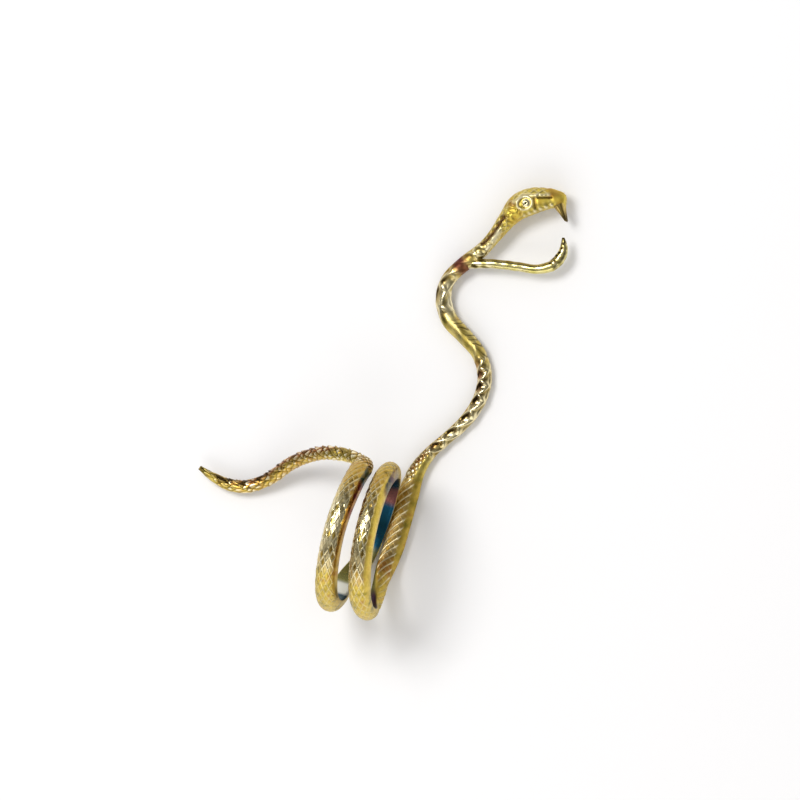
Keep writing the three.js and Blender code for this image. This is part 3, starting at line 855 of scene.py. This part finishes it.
# ---- Tail
# Cast with the coil, the tail leaves the start of the first turn and tapers to its tip. It is rough with
# small cut scales, whose points stand up on its outer side, and which grow longer and flatter towards
# the tip. Each scale is darkened just beyond its drop with painted shade and tarnish, and the odd ones
# carry painted glints on their tops.
# The columns are those of the coil.
TAIL = rows(
    "turn along out roll wide thick belly",
    (-72, -26.95, 9.85, 125, 0.6, 0.6, ROUND),
    (-76.5, -24.9, 9.9, 125, 1.2, 1.2, ROUND),
    (-79, -22.3, 9.9, 120, 1.7, 1.6, ROUND),
    (-75.5, -19.7, 9.85, 115, 1.9, 1.7, ROUND),
    (-64, -17.1, 9.8, 100, 1.9, 1.8, ROUND),
    (-46, -14.7, 9.8, 80, 1.9, 1.85, ROUND),
    (-29, -12, 9.85, 50, 1.9, 1.85, ROUND),
    (-13, -9, 9.95, 20, 2, 1.85, 0.45),
    (-3, -6, 10, 0, 2.2, 1.8, 0.4),
    (6, -4, CORE, 0, 2.2, 1.7, 0.4),
)
# By row of the tail: the length of its scales, how deep they are cut, how brown they are, how dark the
# odd ones among them are, and how strong the painted glints on other odd ones are.
TAIL_SCALES = rows(
    "row long deep brown dark fleck",
    (0, 1.5, 0.05, 0.0, 0.9, 0),
    (1, 1.5, 0.12, 0.2, 0.9, 0.4),
    (3, 1.3, 0.24, 0.7, 0.9, 0.7),
    (5, 1.2, 0.28, 1.1, 0.8, 0.4),
    (6.6, 1.15, 0.28, 1.1, 0.5, 0.5),
    (7.4, 1.05, 0.28, 0.3, 0.3, 1.0),
    (9, 1.0, 0.2, 0.3, 0.3, 0.9),
)
TAIL_COLUMNS = 6
TAIL_STEP = 0.06


def shingled(rows_passed, columns_passed):
    """Height and darkening of overlapping pointed scales, each a diamond cut by the whole numbers of rows
    plus columns and of rows less columns. A scale rises evenly to its tip with a low keel down its
    middle, then drops steeply to the next, which is darkest just beyond the drop, with painted shade and
    tarnish."""
    leaning, other = (rows_passed + columns_passed) % 1, (rows_passed - columns_passed) % 1
    to_tip = np.minimum(1 - leaning, 1 - other)
    keel = 1 - abs(leaning - other)
    height = (0.75 * (leaning + other) / 2 + 0.25 * keel) * eased(0, 0.1, to_tip)
    darkened = 1 - eased(0.02, 0.22, np.minimum(leaning, other))
    return height, darkened


tail_line = evenly(round_finger(smoothed(TAIL, PER_ROW)), TAIL_STEP)
points, _ = carried(tail_line, round_angles)
here = read_off(TAIL_SCALES, tail_line["row"])
wander = tail_line["passed"][:, None]
tail_rows = -np.cumsum(TAIL_STEP / here["long"])[:, None] + 0.14 * np.sin(2.9 * wander + 2 * round_angles)
tail_columns = TAIL_COLUMNS / 2 * round_angles[None, :] / np.pi + 0.1 * np.sin(2.1 * wander + round_angles)
height, darkened = shingled(tail_rows, tail_columns)
outer = eased(-0.1, 0.6, toward(points, tail_line, (0, 1, 0.2)))
scale_lot = lot(tail_rows, tail_columns)
depth = here["deep"] * (0.75 + 0.85 * outer * eased(0.3, 0.6, scale_lot)) * (0.62 - height)
depth = np.maximum(depth, -0.14 * eased(0.6, 1.4, tail_line["row"])[:, None])
tip = 1 - eased(0.1, 1.1, tail_line["row"])[:, None]
shade_and_tarnish = (0.6 + 0.3 * outer) * darkened + here["dark"] * outer * eased(0.6, 0.7, scale_lot) + 0.55 * tip
# Painted glints on the tops of the odd scales, and a faint painted highlight on every top.
painted_highlight = (here["fleck"] * eased(0.4, 0.6, 1 - scale_lot) + 0.15) * eased(0.45, 0.7, height)
readings = {
    "shade_and_tarnish": np.clip(shade_and_tarnish, 0, 1),
    "blush": np.clip(here["brown"] * (0.45 + outer) * (1.3 - 0.7 * scale_lot), 0, 1),
    "painted_highlight": np.clip(painted_highlight, 0, 1),
    "satin": 0.08,
}
tones = [(0.3, "B89A40"), (0.5, "E0CA5E"), (0.7, "D0AC50")]
piece = closed_tube("tail", sunk(points, depth), readings, cast_brass("tail_brass", tones, (0.14, 0.28)))
finish_piece(piece)

# ---- Lower jaw
# The jaw of the wide open mouth: a slender wire that forks from the throat, cast with it in the same
# brass, polished by hand, and turned up at its pointed tip, which stays dark.
LOWER_JAW = rows(
    "x y z roll wide thick belly",
    (-0.7, 38, NECK_HEIGHT + 0.5, 0, 1.1, 1.1, ROUND),
    (1.3, 39.05, HEAD_HEIGHT - 0.3, 0, 1.3, 1.3, ROUND),
    (4.25, 39.85, HEAD_HEIGHT, 0, 1.3, 1.25, ROUND),
    (7.2, 40.35, HEAD_HEIGHT, 0, 1.3, 1.15, ROUND),
    (10, 40.7, HEAD_HEIGHT, 0, 1.3, 1.2, ROUND),
    (11.9, 41.55, HEAD_HEIGHT, 0, 1.5, 1.45, ROUND),
    (12.9, 43, HEAD_HEIGHT, 0, 1.55, 1.4, ROUND),
    (13, 44.5, HEAD_HEIGHT, 0, 1.1, 1, ROUND),
    (12.56, 45.75, HEAD_HEIGHT, 0, 0.4, 0.4, ROUND),
)
wire_angles = np.linspace(0, 2 * np.pi, 64, endpoint=False)
jaw_line = evenly(in_the_open(smoothed(LOWER_JAW, PER_ROW)), 0.08)
points, _ = carried(jaw_line, wire_angles)
jaw_row = jaw_line["row"][:, None]
ripple = np.cos(7 * jaw_row + 1.7 * np.sin(2.3 * jaw_row)) * np.cos(wire_angles + 1.3 * np.sin(3.1 * jaw_row))
dent = 0.5 + 0.5 * ripple
tip = eased(7.2, 7.7, jaw_row)
fork = 1 - eased(1.4, 2.2, jaw_row)
hook = eased(4.9, 5.3, jaw_row)
inner = eased(0.1, 0.7, toward(points, jaw_line, (-0.9, 0.4, 0.3)))
streak = np.sin(9 * jaw_row + 3 * wire_angles) * np.sin(5.3 * jaw_row - 2 * wire_angles)
darkened = 0.12 + 0.7 * tip + 0.8 * fork * eased(0, 0.4, -streak)
darkened = darkened + 1.1 * hook * eased(0, 0.3, -streak) * (0.35 + inner)
# Painted highlights over the wire's dents and in streaks at the fork.
readings = {
    "shade_and_tarnish": np.clip(darkened, 0, 1),
    "blush": 0.25 * eased(0.3, 0.8, toward(points, jaw_line, (-0.3, 1, 0.2))),
    "painted_highlight": np.clip(0.45 * dent * (1 - tip) + fork * eased(0, 0.4, streak), 0, 1),
    "satin": 0.06,
}
tones = [(0.3, "B8AE58"), (0.5, "E0D27C"), (0.7, "D0C470")]
wire_brass = cast_brass("polished_wire_brass", tones, (0.12, 0.24))
piece = closed_tube("lower_jaw", sunk(points, 0.05 * dent), readings, wire_brass)
finish_piece(piece)

# ---- Fangs and eyes
# Two short fangs side by side under the snout, and a domed eye in the socket on each side of the head,
# all cast in the same brass and polished. The fangs slant forward and darken towards their ends, and
# each eye is whitened with a painted highlight over its dome, round a small drilled pupil that is
# darkened.
FANG_LENGTH = 2.5
FANG_ROOT_RADIUS = 0.62
FANG_TIP_RADIUS = 0.13
FANG_FLARE = 0.15  # added to the radius where a fang leaves the jaw
FANG_SPREAD = 0.6
FANG_ROOT = (10.9, 49.85)
FANG_DROP = np.array((1, -1.25)) / np.hypot(1, 1.25)
EYE_RADIUS = 0.78
EYE_SPREAD = 1.5
EYE_PLACE = (6.75, 48.85)  # a little ahead of the middle of the socket
PUPIL = 0.16
PUPIL_DEEP = 0.12
HANDS = ((-1, "far"), (1, "near"))


def rod(middle, width, facing):
    """Stations of a straight round rod: a circle of the given width about each middle."""
    section = {"roll": 0 * width, "wide": width, "thick": width, "belly": 0 * width + ROUND}
    return stood(section, middle, np.full_like(middle, facing))


t = np.linspace(0, 1, 60)
slant = FANG_ROOT + FANG_LENGTH * FANG_DROP * t[:, None]
taper = FANG_ROOT_RADIUS + (FANG_TIP_RADIUS - FANG_ROOT_RADIUS) * t + FANG_FLARE * np.exp(-((t / 0.4) ** 2))
fang_width = 2 * taper * np.sqrt(np.maximum(1 - eased(0.9, 1.0, t), 0.05))
worn = eased(0.25, 0.8, t)[:, None]
lift = np.linspace(0.01, np.pi - 0.01, 64)
eye_width = 2 * EYE_RADIUS * np.sin(lift)
for hand, side_name in HANDS:
    middle = np.column_stack((slant, np.full_like(t, HEAD_HEIGHT + hand * FANG_SPREAD)))
    points, _ = carried(rod(middle, fang_width, (0, 0, 1)), wire_angles[::2])
    readings = {"shade_and_tarnish": 0.8 * worn, "blush": 0.45, "painted_highlight": 0, "satin": 0}
    finish_piece(closed_tube("fang_" + side_name, points, readings, wire_brass))

    height = HEAD_HEIGHT + hand * EYE_SPREAD - EYE_RADIUS * np.cos(lift)
    middle = np.column_stack((np.full((len(lift), 2), EYE_PLACE), height))
    points, _ = carried(rod(middle, eye_width, (0, 1, 0)), wire_angles)
    from_pupil = (lift if hand < 0 else np.pi - lift) * EYE_RADIUS
    drilled = np.exp(-((from_pupil / PUPIL) ** 2))[:, None]
    points[..., 2] -= hand * PUPIL_DEEP * drilled
    # A painted highlight over the dome, and the pupil darkened.
    readings = {"shade_and_tarnish": 0.9 * drilled, "blush": 0, "painted_highlight": 0.9 - 0.9 * drilled, "satin": 0}
    finish_piece(closed_tube("eye_" + side_name, points, readings, wire_brass))
